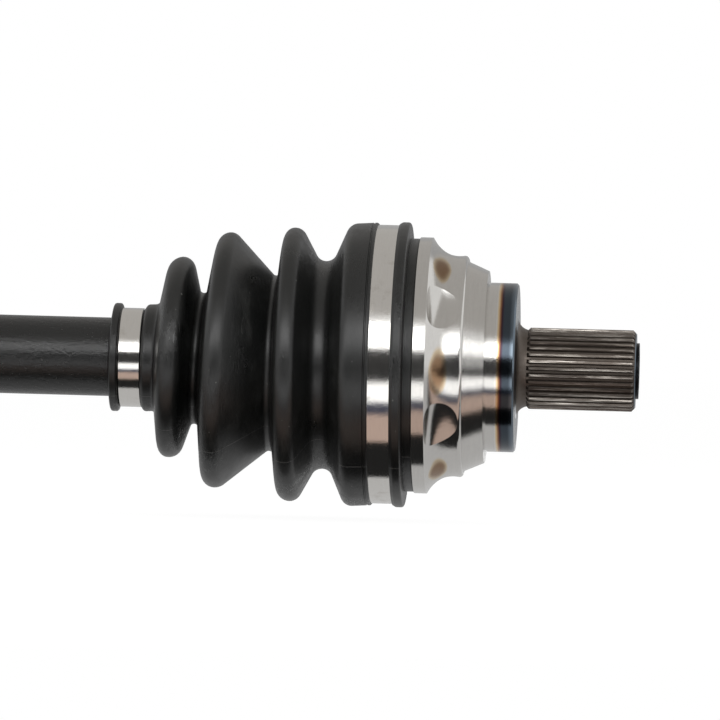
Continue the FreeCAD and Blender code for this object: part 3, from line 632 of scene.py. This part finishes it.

# %% [markdown]
# The gearbox-side boot does two things: it bends with the tripod joint, and it shortens and
# lengthens as the joint plunges. One mesh is spun and cut in two on the straight flank of a
# fold, where a cut doesn't show, and the wall is closed again by bridging the two rings that
# each cut leaves. Both halves stay where they are spun; nothing here attaches them to the
# moving pieces. The valley beside the cut is kept wide enough for the bar, which swings
# sideways in it when the joint bends.

# %% Gearbox-side boot
box_mouth_x = -431.0
box_folds = [(box_mouth_x + x, radius, rounding) for x, radius, rounding in (
    (4.0, 43.6, 4.0), (12.0, 31.5, -2.5), (21.0, 41.0, 4.0), (30.0, 29.0, -2.0),
    (38.0, 35.5, 4.0), (45.5, 21.8, -1.6), (52.5, 29.5, 4.0), (60.3, 18.6, -1.6))]
box_lip = [(-449.0, 43.2, 0.0), (-448.6, 43.6, 0.0), (-446.0, 43.6, 0.0), (-446.0, 42.3, 0.0),
           (-438.1, 42.3, 0.0), (-438.1, 43.6, 0.0)]
box_neck = [(-369.0, 18.6, 1.6), (-366.8, neck_seat, 0.0), (-359.7, neck_seat, 0.0),
            (-358.4, 18.8, 0.8), (-357.2, 18.8, 0.8), (-355.8, 14.6, 0.0)]
box_seat = [(-449.0, 40.0, 0.0), (-430.7, 40.0, 0.0), (-430.7, 41.1, 0.0)]
box_inside = [(-369.0, bar_radius, 0.0), (-355.8, bar_radius, 0.0)]
parting_x = (box_mouth_x + 16.0) * MM
bend_start_x, plunge_end_x = -380 * MM, -434 * MM


def cut_half(shape, keep):
    """Keeps the side of the cut that keep points to, and closes the wall."""
    cut = bmesh.ops.bisect_plane(
        shape, geom=shape.verts[:] + shape.edges[:] + shape.faces[:],
        plane_co=(parting_x, 0, 0), plane_no=(-keep, 0, 0), clear_outer=True)
    rims = [edge for edge in cut["geom_cut"] if isinstance(edge, bmesh.types.BMEdge)]
    bmesh.ops.bridge_loops(shape, edges=rims)
    bmesh.ops.recalc_face_normals(shape, faces=shape.faces)
    return shape


outside = belt(box_lip + box_folds + box_neck)
inside = belt(box_seat + box_folds + box_inside, sheet_wall)
bend_part = ("box_boot_bar_half", 1, ("bar", "inboard_bellows"), bend_start_x, parting_x)
plunge_part = (
    "box_boot_housing_half", -1, ("inboard_bellows", "gearbox_housing"), parting_x, plunge_end_x)
for name, keep, bodies, start, end in (bend_part, plunge_part):
    half = add_piece(name, cut_half(spun_mesh(outside + inside[::-1]), keep), RUBBER)
    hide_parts("inboard_boot")
    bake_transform(half)

# %% [markdown]
# The bore of the stub takes the hub bolt, so it is threaded. A real thread is a ridge that winds
# round the bore once for each pitch. A small trapezoid is the ridge's section, and a spin that
# also steps along the axis winds it into a helix.

# %% Hub thread
stub_end_x = 42.3
thread_radius = 7.28
thread_pitch = 1.5
thread_turns = 18
steps_a_turn = 48

thread_start_x = stub_end_x - 1.9
thread_crest = thread_radius - 0.80
ridge_section = (
    (-0.62, thread_radius), (-0.16, thread_crest), (0.16, thread_crest), (0.62, thread_radius))

ridge = bmesh.new()
section = [ridge.verts.new(((thread_start_x + x) * MM, -radius * MM, 0.0))
           for x, radius in ridge_section]
section_edges = [ridge.edges.new((section[i - 1], section[i])) for i in range(1, 4)]
bmesh.ops.spin(ridge, geom=section + section_edges, cent=(0, 0, 0), axis=ALONG,
               dvec=(-thread_pitch * MM / steps_a_turn, 0, 0),
               angle=-FULL_TURN * thread_turns, steps=steps_a_turn * thread_turns, use_merge=False)
bmesh.ops.recalc_face_normals(ridge, faces=ridge.faces)
thread = add_piece("hub_thread", ridge, DARK_BORE)
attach(thread, "hub_stub")

# %% [markdown]
# The camera looks square at the shaft from the side, very nearly level, from a little towards
# the wheel side, and with the part lying slightly downhill, which the camera's roll repeats.

# %% Camera
mm_per_pixel = 0.347
frame_pixels = 720
shoulder_pixel = 517.2
axis_pixel = 363.6
camera_azimuth = math.radians(3.3)
camera_roll = math.radians(1.57)
camera_distance = 2.57
frame_width = frame_pixels * mm_per_pixel * MM
middle = frame_pixels / 2
target = Vector((
    (middle - shoulder_pixel) * mm_per_pixel * MM, 0.0, (axis_pixel - middle) * mm_per_pixel * MM))
camera_data = bpy.data.cameras.new("camera")
camera = bpy.data.objects.new("camera", camera_data)
bpy.context.scene.collection.objects.link(camera)
camera_data.sensor_width = 36.0
camera_data.lens = camera_data.sensor_width * camera_distance / frame_width
camera_data.clip_end = 100.0
toward_camera = Vector((math.sin(camera_azimuth), -math.cos(camera_azimuth), 0.0))
camera.location = target + toward_camera * camera_distance
look = (-toward_camera).to_track_quat("-Z", "Y")
camera.rotation_mode = "QUATERNION"
camera.rotation_quaternion = look @ Euler((0.0, 0.0, camera_roll)).to_quaternion()
bpy.context.scene.camera = camera
bpy.context.scene.view_settings.view_transform = "Standard"
print("lens in mm:", round(camera_data.lens, 1))

# %% [markdown]
# Most of the light is even, and comes from the world. Rays that show the background, from the
# camera or off a mirror, see it white. A wide soft box above the camera gives the long
# highlight on top of the bell and a soft shine on the rubber.

# %% World and soft boxes
ambient_level = 0.50


def studio_world():
    world = bpy.data.worlds.new("studio")
    world.use_nodes = True
    bpy.context.scene.world = world
    n = Nodes(world.node_tree)
    seen = n.seen_directly()
    colour = n.mix(seen, (ambient_level,) * 3, (1.0, 1.0, 1.0))
    n.feed(world.node_tree.nodes["Background"].inputs["Color"], colour)


def soft_box(name, location, aim, size, watts):
    data = bpy.data.lights.new(name, "AREA")
    data.shape = "RECTANGLE"
    data.size, data.size_y = size
    data.energy = watts
    lamp = bpy.data.objects.new(name, data)
    lamp.location = location
    lamp.rotation_mode = "QUATERNION"
    lamp.rotation_quaternion = (Vector(aim) - Vector(location)).to_track_quat("-Z", "Y")
    bpy.context.scene.collection.objects.link(lamp)


studio_world()
soft_box("front_box", (-0.2, -0.98, 0.42), (-0.2, 0, 0), (2.2, 0.36), 7.0)
soft_box("top_box", (-0.2, 0.25, 1.3), (-0.2, 0, 0), (1.8, 0.8), 4.0)
print("world level", ambient_level, "and two soft boxes")

# %% [markdown]
# A polished round bar is a mirror of the whole room in thin bands, so a photographer sets white
# and black cards round it. The cards below are seen only in reflections: they are hidden from
# the camera and cast neither light nor shadow. Each lies where its band is wanted, on the floor
# in front of the part, in front of it as the dark studio, above it as the ceiling, and behind it
# as the back wall. All are staging, like the floor, and none is part of the shaft.

# %% Cards that the metal mirrors
card_half_length = 1.6


def card(name, centre, half_size, level, upright=False):
    """A glowing card that only mirror-like rays can see. Sizes are in metres."""
    f = Finish(name)
    colour = level if isinstance(level, tuple) else (level,) * 3
    glow = f.node("ShaderNodeEmission", {}, {"Color": (*colour, 1.0), "Strength": 1.0})
    f.feed(f.tree.nodes["Material Output"].inputs["Surface"], glow.outputs[0])
    mesh = bpy.data.meshes.new(name)
    sheet = bmesh.new()
    bmesh.ops.create_grid(sheet, x_segments=1, y_segments=1, size=1.0)
    bmesh.ops.scale(sheet, verts=sheet.verts, vec=(card_half_length, half_size, 1.0))
    if upright:
        upright_turn = Euler((math.pi / 2, 0, 0)).to_matrix()
        bmesh.ops.rotate(sheet, verts=sheet.verts, cent=(0, 0, 0), matrix=upright_turn)
    bmesh.ops.translate(sheet, verts=sheet.verts, vec=centre)
    sheet.to_mesh(mesh)
    sheet.free()
    mesh.materials.append(f.material)
    piece = bpy.data.objects.new(name, mesh)
    bpy.context.scene.collection.objects.link(piece)
    piece.visible_camera = piece.visible_diffuse = piece.visible_shadow = False


just_above_floor = cad_low.z - 0.15 * MM
for name, near, far, level in (   # millimetres in front of the axis, where -Y faces the camera
        ("card_bounce", -228, -113, 1.7),
        ("card_blue", -113, -86, (0.075, 0.08, 0.115)),
        ("card_tan", -86, -52, (0.62, 0.47, 0.40)),
        ("card_black", -52, -24, 0.02),
        ("card_grey", -24, 500, 0.62),
        ("card_dark_room", -1500, -228, 0.04)):
    card(name, (-0.2, (near + far) / 2 * MM, just_above_floor), (far - near) / 2 * MM, level)
card("card_dark_wall", (-0.2, -1.5, 0.14), 0.23, 0.04, upright=True)
card("card_ceiling", (-0.2, 0.33, 1.2), 1.76, (0.53, 0.515, 0.495))
card("card_back_wall", (-0.2, 2.1, 0.55), 0.66, 0.45, upright=True)
print("cards on the floor lie at z =", round(just_above_floor / MM, 2), "mm")

# %% [markdown]
# The floor stays white in the picture and still holds the part's shadow. To the rays that show
# it, most of its brightness is its own glow, and the rest is the light that falls on it.

# %% Floor


def floor_finish():
    f = Finish("white_floor")
    glow = f.node("ShaderNodeEmission", {}, {"Color": (1, 1, 1, 1), "Strength": 1.06})
    plain = f.node("ShaderNodeBsdfDiffuse", {}, {"Color": (0.86, 0.86, 0.85, 1.0)})
    shown = f.node("ShaderNodeMixShader", {}, {0: 0.9, 1: plain.outputs[0], 2: glow.outputs[0]})
    whole = f.node("ShaderNodeMixShader", {}, {
        0: f.seen_directly(), 1: plain.outputs[0], 2: shown.outputs[0]})
    f.feed(f.tree.nodes["Material Output"].inputs["Surface"], whole.outputs[0])
    return f.material


floor_mesh = bpy.data.meshes.new("floor")
sheet = bmesh.new()
bmesh.ops.create_grid(sheet, x_segments=1, y_segments=1, size=30.0)
bmesh.ops.translate(sheet, verts=sheet.verts, vec=(0, 0, cad_low.z - 0.3 * MM))
sheet.to_mesh(floor_mesh)
sheet.free()
floor = bpy.data.objects.new("floor", floor_mesh)
bpy.context.scene.collection.objects.link(floor)
floor_mesh.materials.append(floor_finish())
print("floor at z =", round(floor_mesh.vertices[0].co.z / MM, 2), "mm")
